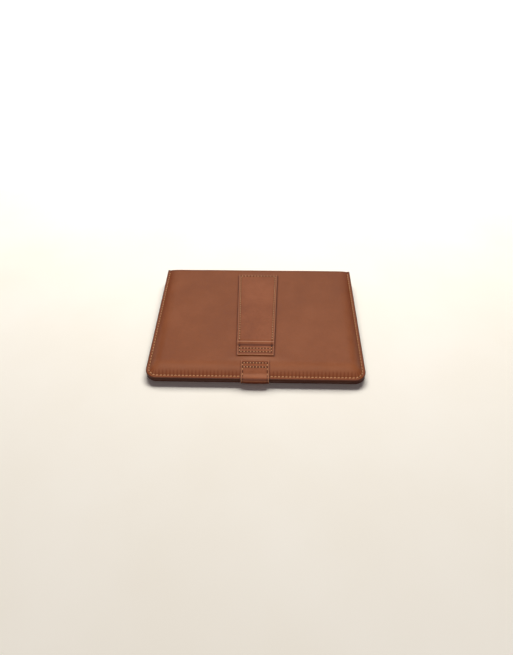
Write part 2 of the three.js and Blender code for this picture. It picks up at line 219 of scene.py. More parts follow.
def bell(x, middle, width):
    """A smooth bump of height 1 about a middle."""
    return np.exp(-((x - middle) / width) ** 2)


def grid_piece(name, outer, inner, material, **fields):
    """A closed piece between two grids of points, in mm; each field holds its outer and inner values."""
    rows, columns = outer.shape[:2]
    index = np.arange(rows * columns).reshape(rows, columns)
    under = index + rows * columns
    top = np.stack([index[:-1, :-1], index[:-1, 1:], index[1:, 1:], index[1:, :-1]], -1).reshape(-1, 4)
    low = np.stack([under[:-1, :-1], under[1:, :-1], under[1:, 1:], under[:-1, 1:]], -1).reshape(-1, 4)
    rim = np.concatenate([index[0, :-1], index[:-1, -1], index[-1, :0:-1], index[:0:-1, 0]])
    after = np.roll(rim, -1)
    walls = np.stack([rim, rim + rows * columns, after + rows * columns, after], -1)
    points = np.concatenate([outer.reshape(-1, 3), inner.reshape(-1, 3)])
    joined = {key: np.concatenate([pair[0].ravel(), pair[1].ravel()]) for key, pair in fields.items()}
    return piece(name, points, np.concatenate([top, low, walls]), material, joined)


def piece(name, points, faces, material, fields=None):
    """A smooth-shaded mesh object from points in mm."""
    mesh = bpy.data.meshes.new(name)
    mesh.from_pydata((np.asarray(points) * MM).tolist(), [], [tuple(f) for f in faces])
    for field, values in (fields or {}).items():
        layer = mesh.attributes.new(field, "FLOAT", "POINT")
        layer.data.foreach_set("value", np.asarray(values, np.float32))
    shape = bmesh.new()
    shape.from_mesh(mesh)
    bmesh.ops.recalc_face_normals(shape, faces=shape.faces)
    shape.to_mesh(mesh)
    shape.free()
    mesh.shade_smooth()
    mesh.set_sharp_from_angle(angle=math.radians(60))
    mesh.materials.append(material)
    made = bpy.data.objects.new(name, mesh)
    scene.collection.objects.link(made)
    return made


def edge_distance(x, y):
    """How far inside the cover's outline a point lies."""
    across = np.abs(x) - SEAM_STRAIGHT
    down = NEAR + CORNER_RADIUS - y
    corner = CORNER_RADIUS - np.hypot(across, down)
    return np.where((across > 0) & (down > 0), corner, np.minimum(HALF_WIDTH - np.abs(x), y - NEAR))


def seam_run(x, y):
    """How far along the rim seam a point lies, from the middle of the near edge."""
    across = np.abs(x) - SEAM_STRAIGHT
    down = NEAR + CORNER_RADIUS - y
    turn = np.arctan2(np.maximum(across, 0), np.maximum(down, 1e-6))
    corner = np.where(across > 0, SEAM_STRAIGHT + SEAM_RADIUS * turn, np.abs(x))
    side = SEAM_STRAIGHT + SEAM_RADIUS * math.pi / 2 - down
    return np.where(down <= 0, np.where(HALF_WIDTH - np.abs(x) < y - NEAR, side, np.abs(x)), corner)


def lip(distance, radius=0.8):
    """How far a rounded edge drops, by distance from the edge."""
    inside = np.clip(radius - distance, 0, radius)
    return radius - np.sqrt(radius ** 2 - inside ** 2)


def seam_dip(x, y):
    """The valley that the rim seam pulls, deeper at each stitch."""
    distance = edge_distance(x, y)
    stitch = np.cos(2 * math.pi * seam_run(x, y) / PITCH)
    valley = 0.26 * bell(distance, SEAM_INSET, 0.8)
    return valley + 0.08 * stitch * bell(distance, SEAM_INSET + 1.1, 1.0)


def crown(x, y):
    """The moulded height of the back cover, which rises fast inside the seam and then levels off."""
    along = np.clip((y - NEAR) / (COVER_FAR - NEAR), 0, 1)
    rim = RIM_NEAR + (RIM_FAR - RIM_NEAR) * along
    side = 1 - (1 - np.clip((HALF_WIDTH - np.abs(x) - SLOPE_START) / SLOPE_WIDTH, 0, 1)) ** SLOPE_FULLNESS
    near = 1 - (1 - np.clip((y - NEAR - SLOPE_START) / SLOPE_WIDTH, 0, 1)) ** SLOPE_FULLNESS
    return rim + (CROWN - rim) * side * near


def slack(x, y):
    """The slow unevenness of leather that has been handled."""
    wide = np.sin(x / 19 + 1.3) * np.sin(y / 23 + 0.4)
    return 0.06 * wide + 0.03 * np.sin(x / 7.3 + y / 9.1) + 0.025 * np.sin(y / 5.7 - x / 12)


def cover_columns(half):
    """Points across a row, closer together towards both edges."""
    fine = np.array([0, 0.12, 0.3, 0.55, 0.85, 1.2, 1.6, 2.0, 2.4, 2.8, 3.2, 3.6, 4.1, 4.7, 5.4, 6.2,
                     7, 8, 9])
    inner = np.linspace(CORNER_RADIUS, HALF_WIDTH, 84)
    reach = (half - CORNER_RADIUS) * (HALF_WIDTH - inner) / (HALF_WIDTH - CORNER_RADIUS)
    right = np.concatenate([half - fine, reach])
    return np.concatenate([-right, right[-2::-1]])


def cover_rows():
    """The rows of a cover and its half of the spine: y, place on the crease or spine, and inward angle."""
    swing = np.radians(np.linspace(0, 90, 19))
    near = NEAR + CORNER_RADIUS * (1 - np.cos(swing))
    flat = np.arange(near[-1] + 1, SPINE_OUT - CREASE_RADIUS - 0.4, 1.05)
    rows = [(y, None, 0.0) for y in [*near, *flat]]
    for angle in np.radians(np.linspace(0, 90, 9)):
        rows.append((SPINE_OUT - CREASE_RADIUS + CREASE_RADIUS * math.sin(angle), "crease", angle))
    for share in np.linspace(0, 1, 7)[1:]:
        rows.append((SPINE_OUT, share, math.pi / 2))
    return rows


def cover_half_width(y):
    run = np.clip((y - NEAR) / CORNER_RADIUS, 0, 1)
    return SEAM_STRAIGHT + CORNER_RADIUS * math.sqrt(1 - (1 - run) ** 2)


def cover_skin(height, thickness, side):
    """Outer and inner grids of a cover with its half of the spine; side is 1 on top and -1 below."""
    outer, inner = [], []
    for y, kind, angle in cover_rows():
        x = cover_columns(cover_half_width(y))
        yy = np.full_like(x, y)
        start_y = SPINE_OUT - CREASE_RADIUS
        at = np.minimum(yy, start_y)
        z = height(x, at)
        if kind == "crease":
            z = z - side * CREASE_RADIUS * (1 - math.cos(angle))
        elif kind is not None:
            end = z - side * CREASE_RADIUS
            z = end + (SPINE_MIDDLE - end) * kind
        depth = lip(edge_distance(x, at))
        inward = np.array([0, -math.sin(angle), -side * math.cos(angle)])
        wall = thickness(x, at)
        wall = wall + (SKIN - wall) * ease((y - (SPINE_OUT - 7)) / 4)
        base = np.stack([x, yy, z], -1)
        outer.append(base + inward * depth[:, None])
        inner.append(base + inward * np.maximum(wall - 0.6 * depth, depth + 0.2)[:, None])
    return np.array(outer), np.array(inner)


def cover_burnish(grid, painted=0.0):
    """How dark each cover point is made: up to 1 is painted shade on the slopes and in the seam valley, with
    darkening over the far crease and the spine; up to 2 is dark edge paint on the rolled lip, deepened as
    painted shade; the last argument adds painted shade.
    """
    distance = edge_distance(grid[..., 0], np.minimum(grid[..., 1], COVER_FAR))
    sides = ease((grid[..., 1] - NEAR - 6) / 8)
    # Painted shade on the slopes that fall to the rim and in the seam valley.
    slope = (0.3 + 0.4 * sides) * bell(distance, 4.6, 2.0 + 1.4 * sides)
    seam = 0.5 * bell(distance, SEAM_INSET, 0.7)
    crease = 0.55 * ease((grid[..., 1] - (SPINE_OUT - 4.5)) / 3)
    # The rolled lip takes dark edge paint that also stands in for the shade on it.
    return np.clip(slope + seam + crease + 1.9 * (1 - ease((distance - 0.1) / 1.5)) + painted, 0, 2)


def cover_pull(grid):
    """How hard the thread creases the leather, strongest just inside the seam's needle holes; the creases
    are dented and also darkened with painted shade.
    """
    distance = edge_distance(grid[..., 0], np.minimum(grid[..., 1], COVER_FAR))
    beside_tab = np.clip((np.abs(grid[..., 0]) - 12) / 2, 0, 1)
    return 1.1 * ease((distance - 2) / 0.7) * (1 - ease((distance - 4) / 3)) * beside_tab


def cover_worn(grid):
    """Paler in a band along the near shoulder, and painted sheen on the bulge between the tab and the flap.
    """
    distance = edge_distance(grid[..., 0], grid[..., 1])
    near = 1 - ease((grid[..., 1] - NEAR - 12) / 5)
    bulge_sheen = bell(grid[..., 0], 0, 17) * bell(grid[..., 1], NEAR + 15.5, 3.2)
    return 0.1 * near * bell(distance, 9.5, 3.6) + 0.3 * bulge_sheen


def pressed(x, y):
    """Painted contact shadow: the dark line along the outlines of the flap and the tab where they sit on the
    cover.
    """
    low, high = span("flap_anchor")[0][1], span("flap_leather")[1][1]
    narrow, wide = span("flap_anchor")[1][0], span("flap_leather")[1][0]
    half = narrow - 0.4 + (wide - narrow) * (y - low) / (high - low)
    flap = np.maximum(np.abs(x) - half, np.maximum(low - y, y - high))
    tab = np.maximum(np.abs(x) - span("tab_tip")[1][0], y - span("tab_anchor")[1][1])
    return bell(flap, 0.3, 0.8) + 0.8 * bell(tab, 0.3, 0.6)


def leather(name, tones, shade_tone, grain=1.1):
    """Dyed and plated cowhide: close pebbled grain and cloudy colour; a mask mixes in painted shade and dark
    edge paint, and another mixes in pale cut edges and painted highlights.
    """
    made, tree, shader, mm = surface(name, Specular_IOR_Level=0.3, Sheen_Weight=0.03, Sheen_Roughness=0.4)
    shader.inputs["Sheen Tint"].default_value = linear("#D8A98C")
    cloud = put(tree, "ShaderNodeTexNoise", {"Vector": mm, "Scale": 0.035, "Detail": 4, "Roughness": 0.55})
    fleck = put(tree, "ShaderNodeTexNoise", {"Vector": mm, "Scale": 0.45, "Detail": 3, "Roughness": 0.6})
    mixed = put(tree, "ShaderNodeMath", {
        0: put(tree, "ShaderNodeMath", {0: cloud.outputs["Fac"], 1: 0.72}, operation="MULTIPLY").outputs[0],
        1: put(tree, "ShaderNodeMath", {0: fleck.outputs["Fac"], 1: 0.28}, operation="MULTIPLY").outputs[0],
    }, operation="ADD")
    dye = ramp(tree, mixed.outputs[0], [(0.36, tones[0]), (0.5, tones[1]), (0.64, tones[2])])
    warp = put(tree, "ShaderNodeTexNoise", {"Vector": mm, "Scale": 0.7, "Detail": 2})
    push = put(tree, "ShaderNodeVectorMath", {0: warp.outputs["Color"], "Scale": 0.9}, operation="SCALE")
    shifted = put(tree, "ShaderNodeVectorMath", {0: mm, 1: push.outputs[0]}, operation="ADD")
    pebble = put(tree, "ShaderNodeTexVoronoi", {
        "Vector": shifted.outputs[0], "Scale": 1 / grain, "Randomness": 0.95,
    }, feature="DISTANCE_TO_EDGE")
    raised = put(tree, "ShaderNodeMapRange", {"Value": pebble.outputs["Distance"], "From Max": 0.22})
    pore = put(tree, "ShaderNodeTexNoise", {"Vector": mm, "Scale": 2.4, "Detail": 3, "Roughness": 0.65})
    pale = put(tree, "ShaderNodeMapRange", {"Value": raised.outputs[0], "To Min": 0.8, "To Max": 1.0})
    furrow = put(tree, "ShaderNodeMix", {"Factor": 0.82, "A": pale.outputs[0], "B": 1.0})
    burnish = put(tree, "ShaderNodeAttribute", attribute_name="burnish").outputs["Fac"]
    turns = put(tree, "ShaderNodeMath", {
        0: put(tree, "ShaderNodeAttribute", attribute_name="run").outputs["Fac"], 1: 2 * math.pi / PITCH,
    }, operation="MULTIPLY")
    wave = put(tree, "ShaderNodeMath", {0: turns.outputs[0]}, operation="COSINE")
    crest = put(tree, "ShaderNodeMapRange", {"Value": wave.outputs[0], "From Min": -0.1, "From Max": 0.9})
    pull = put(tree, "ShaderNodeAttribute", attribute_name="pull").outputs["Fac"]
    # Pucker creases at each stitch: dented by the bump and darkened as painted shade.
    crease = put(tree, "ShaderNodeMath", {0: crest.outputs[0], 1: pull}, operation="MULTIPLY").outputs[0]
    # Painted shade: the mask and the pucker creases mix the dye towards the darker shade tone.
    shade_amount = put(tree, "ShaderNodeMath", {0: burnish, 1: crease}, operation="ADD").outputs[0]
    shaded_dye = put(tree, "ShaderNodeMix", {0: shade_amount, 6: dye, 7: linear(shade_tone)}, data_type="RGBA")
    # Past 1 the mask mixes towards near-black brown: edge paint on the cover's rim, and deeper painted shade
    # along contact lines, on the tab's front bend and under the flap's ridge.
    paint = put(tree, "ShaderNodeMath", {0: burnish, 1: 1.0}, operation="SUBTRACT").outputs[0]
    edge_painted_and_shaded = put(tree, "ShaderNodeMix", {
        0: paint, 6: shaded_dye.outputs[2], 7: linear("#351508"),
    }, data_type="RGBA")
    # A pale tan for the straps' raw cut edges, and for painted highlights and sheen.
    worn = put(tree, "ShaderNodeAttribute", attribute_name="worn").outputs["Fac"]
    lightened = put(tree, "ShaderNodeMix", {0: worn, 6: edge_painted_and_shaded.outputs[2], 7: linear("#B98466")}, data_type="RGBA")
    shaded = put(tree, "ShaderNodeVectorMath", {
        0: lightened.outputs[2], "Scale": furrow.outputs[0],
    }, operation="SCALE")
    tree.links.new(shaded.outputs[0], shader.inputs["Base Color"])
    gloss = put(tree, "ShaderNodeMapRange", {
        "Value": fleck.outputs["Fac"], "To Min": 0.42, "To Max": 0.6,
    })
    tree.links.new(gloss.outputs[0], shader.inputs["Roughness"])
    relief = put(tree, "ShaderNodeMath", {
        0: put(tree, "ShaderNodeMath", {0: raised.outputs[0], 1: crease}, operation="SUBTRACT").outputs[0],
        1: put(tree, "ShaderNodeMath", {0: pore.outputs["Fac"], 1: 0.7}, operation="MULTIPLY").outputs[0],
    }, operation="ADD")
    bump(tree, shader, relief.outputs[0], 0.05)
    return made


# The last colour is the darker tone that painted shade mixes in.
COVER_LEATHER = leather("plated_cowhide", ("#804524", "#854926", "#8B4E2B"), "#74360F")


def back_height(x, y):
    bulge = 0.35 * bell(x, 0, 17) * bell(y, NEAR + 15.5, 3.2)
    middle = ease((edge_distance(x, y) - 1) / 4)
    return crown(x, y) - seam_dip(x, y) + (slack(x, y) - 0.12) * middle + bulge


def back_wall(x, y):
    folded = (RIM_THICKNESS - SKIN) * (1 - ease((edge_distance(x, y) - SLOPE_START) / 4))
    return SKIN + folded


back_outer, back_inner = cover_skin(back_height, back_wall, 1)
back_leather = grid_piece(
    "back_cover_hide", back_outer, back_inner, COVER_LEATHER,
    # Painted contact shadow along the flap's and the tab's outlines.
    burnish=(cover_burnish(back_outer, 1.7 * pressed(back_outer[..., 0], back_outer[..., 1])),
             cover_burnish(back_inner, 0.3)),
    worn=(cover_worn(back_outer), 0 * back_inner[..., 0]),
    run=(seam_run(back_outer[..., 0], back_outer[..., 1]), 0 * back_inner[..., 0]),
    pull=(cover_pull(back_outer), 0 * back_inner[..., 0]),
)
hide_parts("back_cover_leather")
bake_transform(back_leather)


# Rim seam of the back cover.
# Bonded tan thread, about ten stitches to 30 mm, sewn 3 mm in from the edge along three sides. Each
# stitch is a short twisted loop that dives into its needle holes.
def thread_material(name, light, dark):
    """Waxed twisted fibres in mottled pale and darker tones."""
    made, tree, shader, mm = surface(name, Roughness=0.62, Sheen_Weight=0.25, Sheen_Roughness=0.5)
    fuzz = put(tree, "ShaderNodeTexNoise", {"Vector": mm, "Scale": 3.2, "Detail": 3})
    tone = ramp(tree, fuzz.outputs["Fac"], [(0.35, dark), (0.65, light)])
    tree.links.new(tone, shader.inputs["Base Color"])
    bump(tree, shader, fuzz.outputs["Fac"], 0.03)
    return made


THREAD = thread_material("bonded_polyester_thread", "#D9A878", "#B98252")
# Painted shade of a needle hole: a dark, dull, mottled brown.
NEEDLE_HOLE_SHADE, tree, shader, mm = surface("needle_hole_shadow", Roughness=0.9)
raw = put(tree, "ShaderNodeTexNoise", {"Vector": mm, "Scale": 2.0})
tone = ramp(tree, raw.outputs["Fac"], [(0.3, "#2E1409"), (0.7, "#4A2413")])
tree.links.new(tone, shader.inputs["Base Color"])


def unit(v):
    return v / np.linalg.norm(v, axis=-1, keepdims=True)


def stitches(name, places, along, up, length=2.2, radius=0.36, seed=1):
    """A run of twisted stitches, each centred on a place, with the direction it lies in and its normal."""
    rings, sides = 9, 8
    chance = np.random.default_rng(seed)
    places, along, up = (np.asarray(v, float) for v in (places, along, up))
    up = unit(np.broadcast_to(up, places.shape))
    along = unit(np.broadcast_to(along, places.shape))
    across = np.cross(up, along)
    slant = np.radians(7 + chance.normal(0, 1.5, len(places)))[:, None]
    cos, sin = np.cos(slant), np.sin(slant)
    along, across = along * cos + across * sin, across * cos - along * sin
    size = (length * (1 + chance.normal(0, 0.03, len(places))))[:, None, None, None]
    t = np.linspace(0, 1, rings)[None, :, None, None]
    angle = (np.arange(sides) * 2 * math.pi / sides)[None, None, :, None]
    girth = radius * (0.55 + 0.45 * np.sin(math.pi * t)) * (1 + 0.13 * np.cos(2 * angle + 5 * math.pi * t))
    rise = 0.42 * np.sin(math.pi * t) ** 0.7 - 0.16
    spread = [v[:, None, None, :] for v in (places, along, across, up)]
    points = (spread[0] + spread[1] * (t - 0.5) * size + spread[2] * girth * np.sin(angle)
              + spread[3] * (rise + girth * np.cos(angle)))
    faces = []
    for k in range(len(places)):
        first = k * rings * sides
        for i in range(rings - 1):
            for j in range(sides):
                a, b = first + i * sides + j, first + i * sides + (j + 1) % sides
                faces.append((a, b, b + sides, a + sides))
        faces.append(tuple(range(first + sides - 1, first - 1, -1)))
        faces.append(tuple(range(first + (rings - 1) * sides, first + rings * sides)))
    return piece(name, points.reshape(-1, 3), faces, THREAD)


def needle_hole_shades(name, places, along, up, size=(0.8, 0.58)):
    """Painted shade for the needle holes: low dark discs where the thread enters the leather."""
    places, along, up = (np.asarray(v, float) for v in (places, along, up))
    up = unit(np.broadcast_to(up, places.shape))
    along = unit(np.broadcast_to(along, places.shape))
    across = np.cross(up, along)
    turn = np.arange(8) * math.pi / 4
    points, faces = [], []
    for k, place in enumerate(places):
        first = len(points)
        for scale, lift in ((1.0, -0.05), (0.8, 0.045)):
            for angle in turn:
                points.append(place + along[k] * size[0] * scale * math.cos(angle)
                              + across[k] * size[1] * scale * math.sin(angle) + up[k] * lift)
        points.append(place + up[k] * 0.02)
        points.append(place - up[k] * 0.1)
        for j in range(8):
            n = (j + 1) % 8
            faces.append((first + j, first + n, first + 8 + n, first + 8 + j))
            faces.append((first + 8 + j, first + 8 + n, first + 16))
            faces.append((first + n, first + j, first + 17))
    return piece(name, np.array(points), faces, NEEDLE_HOLE_SHADE)


def rim_places(spacing, offset, skip):
    """Places and directions along the rim seam, both ways from the middle of the near edge."""
    corner = SEAM_RADIUS * math.pi / 2
    total = SEAM_STRAIGHT + corner + COVER_FAR - 1.5 - (NEAR + CORNER_RADIUS)
    runs = np.arange(offset, total, spacing)
    places, ways = [], []
    for run in runs[runs > skip]:
        if run < SEAM_STRAIGHT:
            x, y, way = run, NEAR + SEAM_INSET, (1, 0, 0)
        elif run < SEAM_STRAIGHT + corner:
            angle = (run - SEAM_STRAIGHT) / SEAM_RADIUS
            x = SEAM_STRAIGHT + SEAM_RADIUS * math.sin(angle)
            y = NEAR + CORNER_RADIUS - SEAM_RADIUS * math.cos(angle)
            way = (math.cos(angle), math.sin(angle), 0)
        else:
            x, way = HALF_WIDTH - SEAM_INSET, (0, 1, 0)
            y = NEAR + CORNER_RADIUS + run - SEAM_STRAIGHT - corner
        for side in (-1, 1):
            places.append((side * x, y))
            ways.append((side * way[0], way[1], 0))
    return np.array(places), np.array(ways, float)


def rim_seam(prefix, height, side, body, skip, seed):
    up = (0, 0, side)
    flat, ways = rim_places(PITCH, PITCH / 2, skip)
    at = np.column_stack([flat, height(flat[:, 0], flat[:, 1])])
    run = stitches(f"{prefix}_stitches", at, ways, up, seed=seed)
    flat, ways = rim_places(PITCH, 0, skip)
    at = np.column_stack([flat, height(flat[:, 0], flat[:, 1])])
    holes = needle_hole_shades(f"{prefix}_needle_hole_shades", at, ways, up)
    for made in (run, holes):
        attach(made, body)


rim_seam("back_rim", back_height, 1, "back_cover", 12.5, 3)


# Front cover leather.
# The same hide under the folio, turned over its board and up the spine to meet the back cover's half. It
# is dented where the closure tab presses in.
TAB_HALF = span("tab_tip")[1][0]
TAB_TIP_END = span("tab_tip")[1][1]
FRONT_TOP = span("front_cover_leather")[1][2]
FRONT_HEM = 3.2
FRONT_FLOOR = 1.4


def front_height(x, y):
    reach = (1 - ease((np.abs(x) - TAB_HALF - 0.2) / 1.2)) * (1 - ease((y - TAB_TIP_END - 0.2) / 1.2))
    return 1.15 * reach + seam_dip(x, y) * (1 - reach)


def front_wall(x, y):
    inside = ease((edge_distance(x, y) - FRONT_HEM + 0.3) / 0.5)
    return FRONT_TOP - (FRONT_TOP - FRONT_FLOOR) * inside - front_height(x, y)


front_outer, front_inner = cover_skin(front_height, front_wall, -1)
front_leather = grid_piece(
    "front_cover_hide", front_outer, front_inner, COVER_LEATHER,
    burnish=(cover_burnish(front_outer), cover_burnish(front_inner, 0.3)),
)
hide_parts("front_cover_leather", "spine_leather")
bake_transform(front_leather)
rim_seam("front_rim", front_height, -1, "front_cover", 14.5, 5)


# Closure tab.
# One strap of the same hide with raw, waxed edges: sewn flat to the back cover by two rows and two side
# seams, then over the near edge and under the front cover, where a magnet holds its tip.
TAB_THICKNESS = 0.9
STRAP_THREAD = 0.34
STRAP_HOLE = (0.95, 0.85)
TAB_TOP = span("tab_anchor")[1][1]
# The last colour is the darker tone that painted shade mixes in.
TAB_LEATHER = leather("strap_cowhide", ("#7F4324", "#894B29", "#945432"), "#5E2A12", grain=1.0)


def curve(points, count):
    """A smooth path through a few points."""
    points = np.asarray(points, float)
    ends = np.vstack([2 * points[0] - points[1], points, 2 * points[-1] - points[-2]])
    path = []
    for i in range(len(points) - 1):
        p0, p1, p2, p3 = ends[i:i + 4]
        for t in np.linspace(0, 1, count, endpoint=False):
            path.append(0.5 * (2 * p1 + (p2 - p0) * t + (2 * p0 - 5 * p1 + 4 * p2 - p3) * t * t
                               + (3 * p1 - p0 - 3 * p2 + p3) * t ** 3))
    return np.array([*path, points[-1]])


def outward(path):
    """The outward direction at each point of a (y, z) path that runs over the near edge."""
    step = np.gradient(path, axis=0)
    return np.stack([step[:, 1], -step[:, 0]], -1) / np.linalg.norm(step, axis=1)[:, None]


def strap_lift(x, y, half, seam):
    """How far a strap's face stands off its path: soft in the middle and pulled in along its seams."""
    distance = half - np.abs(x)
    rows = sum(bell(y, row, 0.6) for row in seam["rows"]) * ease((distance - seam["inset"]) / 0.8)
    return 0.12 * ease((distance - 2) / 4) - 0.2 * bell(distance, seam["inset"], 0.5) - 0.16 * rows


def strap(name, path, rows, half_width, thickness, seam, dark, pale):
    """A strap along rows of a (y, z) path on its outer face, with rounded edges and a soft middle."""
    normal = outward(path)
    run = np.concatenate([[0], np.cumsum(np.linalg.norm(np.diff(path, axis=0), axis=1))])
    fine = np.array([0, 0.06, 0.16, 0.32, 0.55, 0.9, 1.3, 1.7, 2.1, 2.5, 3.0, 3.6])
    outer, inner, burnish, worn = [], [], [], []
    for i in range(len(path))[rows]:
        half = half_width(path[i][0])
        middle = np.linspace(-half + 4.4, half - 4.4, 25)
        x = np.concatenate([-half + fine, middle, half - fine[::-1]])
        distance = np.minimum(half - np.abs(x), min(run[i], run[-1] - run[i]))
        drop = lip(distance, 0.35)
        lift = strap_lift(x, path[i][0], half, seam) - drop
        back = 0.7 * drop - thickness[i]
        for grid, reach in ((outer, lift), (inner, back)):
            y, z = (path[i][axis] + normal[i][axis] * reach for axis in (0, 1))
            grid.append(np.stack([x, y, z], -1))
        # Painted shade along the seam line and over the sewn rows, plus the painted shade given per row; the
        # inner face gets more painted shade.
        sewn_rows = 0.5 * sum(bell(path[i][0], row, 0.7) for row in seam["rows"])
        burnish.append(np.maximum(0.6 * bell(distance, seam["inset"], 0.6), sewn_rows) + dark[i])
        # Pale raw cut edges, plus the painted highlights given per row.
        worn.append(np.clip(0.8 * (1 - ease(distance / 0.75)) + pale[i], 0, 1))
    outer, inner, burnish, worn = (np.array(v) for v in (outer, inner, burnish, worn))
    return grid_piece(name, outer, inner, TAB_LEATHER,
                      burnish=(burnish, burnish + 0.4), worn=(worn, worn * 0))


def strap_seam(prefix, path, runs, body, half_width, seam, length=1.3):
    """Stitches and holes in straight runs on a strap: each run is (x0, y0, x1, y1) with its pitch."""
    order = np.argsort(path[:, 0])
    track = np.column_stack([path, outward(path)])[order].T
    threads, holes = [], []
    for x0, y0, x1, y1, pitch in runs:
        count = max(round(math.hypot(x1 - x0, y1 - y0) / pitch), 1)
        shares = [((k + 0.5) / count, threads) for k in range(count)]
        shares += [(k / count, holes) for k in range(count + 1)]
        for share, store in shares:
            x, y = x0 + (x1 - x0) * share, y0 + (y1 - y0) * share
            z, ny, nz = (np.interp(y, track[0], values) for values in track[1:])
            up = np.array([0, ny, nz]) / math.hypot(ny, nz)
            along = np.array([0, nz, -ny]) if abs(y1 - y0) > abs(x1 - x0) else np.array([1.0, 0, 0])
            place = np.array([x, y, z]) + (strap_lift(x, y, half_width(y), seam) + 0.02) * up
            store.append((place, along, up))
    run = stitches(f"{prefix}_stitches", *zip(*threads), length, STRAP_THREAD, seed=len(threads))
    pits = needle_hole_shades(f"{prefix}_needle_hole_shades", *zip(*holes), STRAP_HOLE)
    for made in (run, pits):
        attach(made, body)


def tab_face(y):
    """Height of the tab's outer face where it is sewn to the back cover."""
    return crown(0.0, y) + 0.3 + TAB_THICKNESS


sewn = [(y, tab_face(y)) for y in np.linspace(TAB_TOP, NEAR + 3.4, 8)]
tab_path = curve([
    *sewn, (NEAR + 1.7, RIM_NEAR + 1.4), (NEAR + 0.2, RIM_NEAR + 1.15), (NEAR - 1.0, RIM_NEAR + 0.45),
    (NEAR - 1.5, 4.4), (NEAR - 1.6, 3.3), (NEAR - 1.6, 2.2), (NEAR - 1.35, 1.1), (NEAR - 0.7, 0.32),
    (NEAR + 0.6, 0.08), (NEAR + 4, 0.06), (NEAR + 12, 0.06), (TAB_TIP_END - 3, 0.06), (TAB_TIP_END, 0.08),
], 6)
middle_row = next(i for i, (y, z) in enumerate(tab_path) if y < NEAR and z <= 3.31)
# Painted shade on the tab's front bend and beyond it, and painted highlights just inside the near edge and
# at the fold.
tab_painted_shade = 1.15 * ease((NEAR + 0.6 - tab_path[:, 0]) / 1.6)
tab_painted_highlight = 0.3 * bell(tab_path[:, 0], NEAR + 2.2, 1.6) + 0.25 * bell(tab_path[:, 1], 4.4, 0.5)
tab_thick = np.where(np.arange(len(tab_path)) > middle_row + 14, 0.82, 0.88)


def tab_half(y):
    """The tab keeps one width from end to end."""
    return TAB_HALF


ROW_HIGH = NEAR + 10.6
ROW_LOW = NEAR + 7.6
tab_seam = {"inset": 1.4, "rows": (ROW_HIGH, ROW_LOW)}
plain_seam = {"inset": 1.4, "rows": ()}
upper_tab = strap("closure_tab_upper", tab_path, slice(0, middle_row + 1), tab_half, tab_thick, tab_seam,
                  tab_painted_shade, tab_painted_highlight)
lower_tab = strap("closure_tab_lower", tab_path, slice(middle_row, None), tab_half, tab_thick, plain_seam,
                  tab_painted_shade, tab_painted_highlight)
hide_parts("tab_anchor")
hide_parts("tab_riser", "tab_tip")
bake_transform(upper_tab)
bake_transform(lower_tab)
SIDE = TAB_HALF - tab_seam["inset"]
strap_seam("tab_anchor", tab_path[:middle_row], [
    (-SIDE, ROW_HIGH, SIDE, ROW_HIGH, 2.5), (-SIDE, ROW_LOW, SIDE, ROW_LOW, 2.5),
    (-SIDE, NEAR + 2.0, -SIDE, ROW_HIGH, 2.8), (SIDE, NEAR + 2.0, SIDE, ROW_HIGH, 2.8),
], "back_cover", tab_half, tab_seam)


# Stand flap.
# A stiff leg of doubled leather: its near end is sewn flat to the cover by two rows, a rolled crease
# follows, and a plate, a magnet and a suede lining are sewn in behind it.
FLAP_SEWN = span("flap_anchor")[0][1]
FLAP_END = span("flap_leather")[1][1]
FLAP_CREASE = FLAP_SEWN + 10.6
FLAP_TOP = 15.4
flap_narrow = span("flap_anchor")[1][0]
flap_wide = span("flap_leather")[1][0]


def flap_half(y):
    """The flap widens a little towards its free end."""
    return flap_narrow - 0.7 + (flap_wide - flap_narrow) * (y - FLAP_SEWN) / (FLAP_END - FLAP_SEWN)


flap_path = curve([
    (FLAP_END, FLAP_TOP), (FLAP_END - 0.8, FLAP_TOP), (FLAP_END - 3, FLAP_TOP + 0.05),
    *[(y, FLAP_TOP + 0.04 * math.sin(y / 9)) for y in np.arange(FLAP_END - 8, FLAP_CREASE + 9, -6)],
    (FLAP_CREASE + 6.5, FLAP_TOP), (FLAP_CREASE + 4.8, FLAP_TOP + 0.12), (FLAP_CREASE + 3.4, FLAP_TOP + 0.5),
    (FLAP_CREASE + 2.6, FLAP_TOP + 0.8), (FLAP_CREASE + 1.9, FLAP_TOP + 0.62),
    (FLAP_CREASE + 1.2, FLAP_TOP - 0.1), (FLAP_CREASE + 0.5, FLAP_TOP - 0.85),
    (FLAP_CREASE - 0.2, FLAP_TOP - 1.1), (FLAP_CREASE - 1.2, FLAP_TOP - 1.0),
    *[(FLAP_CREASE - back, FLAP_TOP - 0.97) for back in (3, 4.6, 6.2, 7.6)],
    (FLAP_SEWN + 1.6, FLAP_TOP - 0.97), (FLAP_SEWN, FLAP_TOP - 1.0),
], 6)
underside = np.where(flap_path[:, 0] > FLAP_CREASE + 0.4, CROWN + 0.78, CROWN + 0.34)
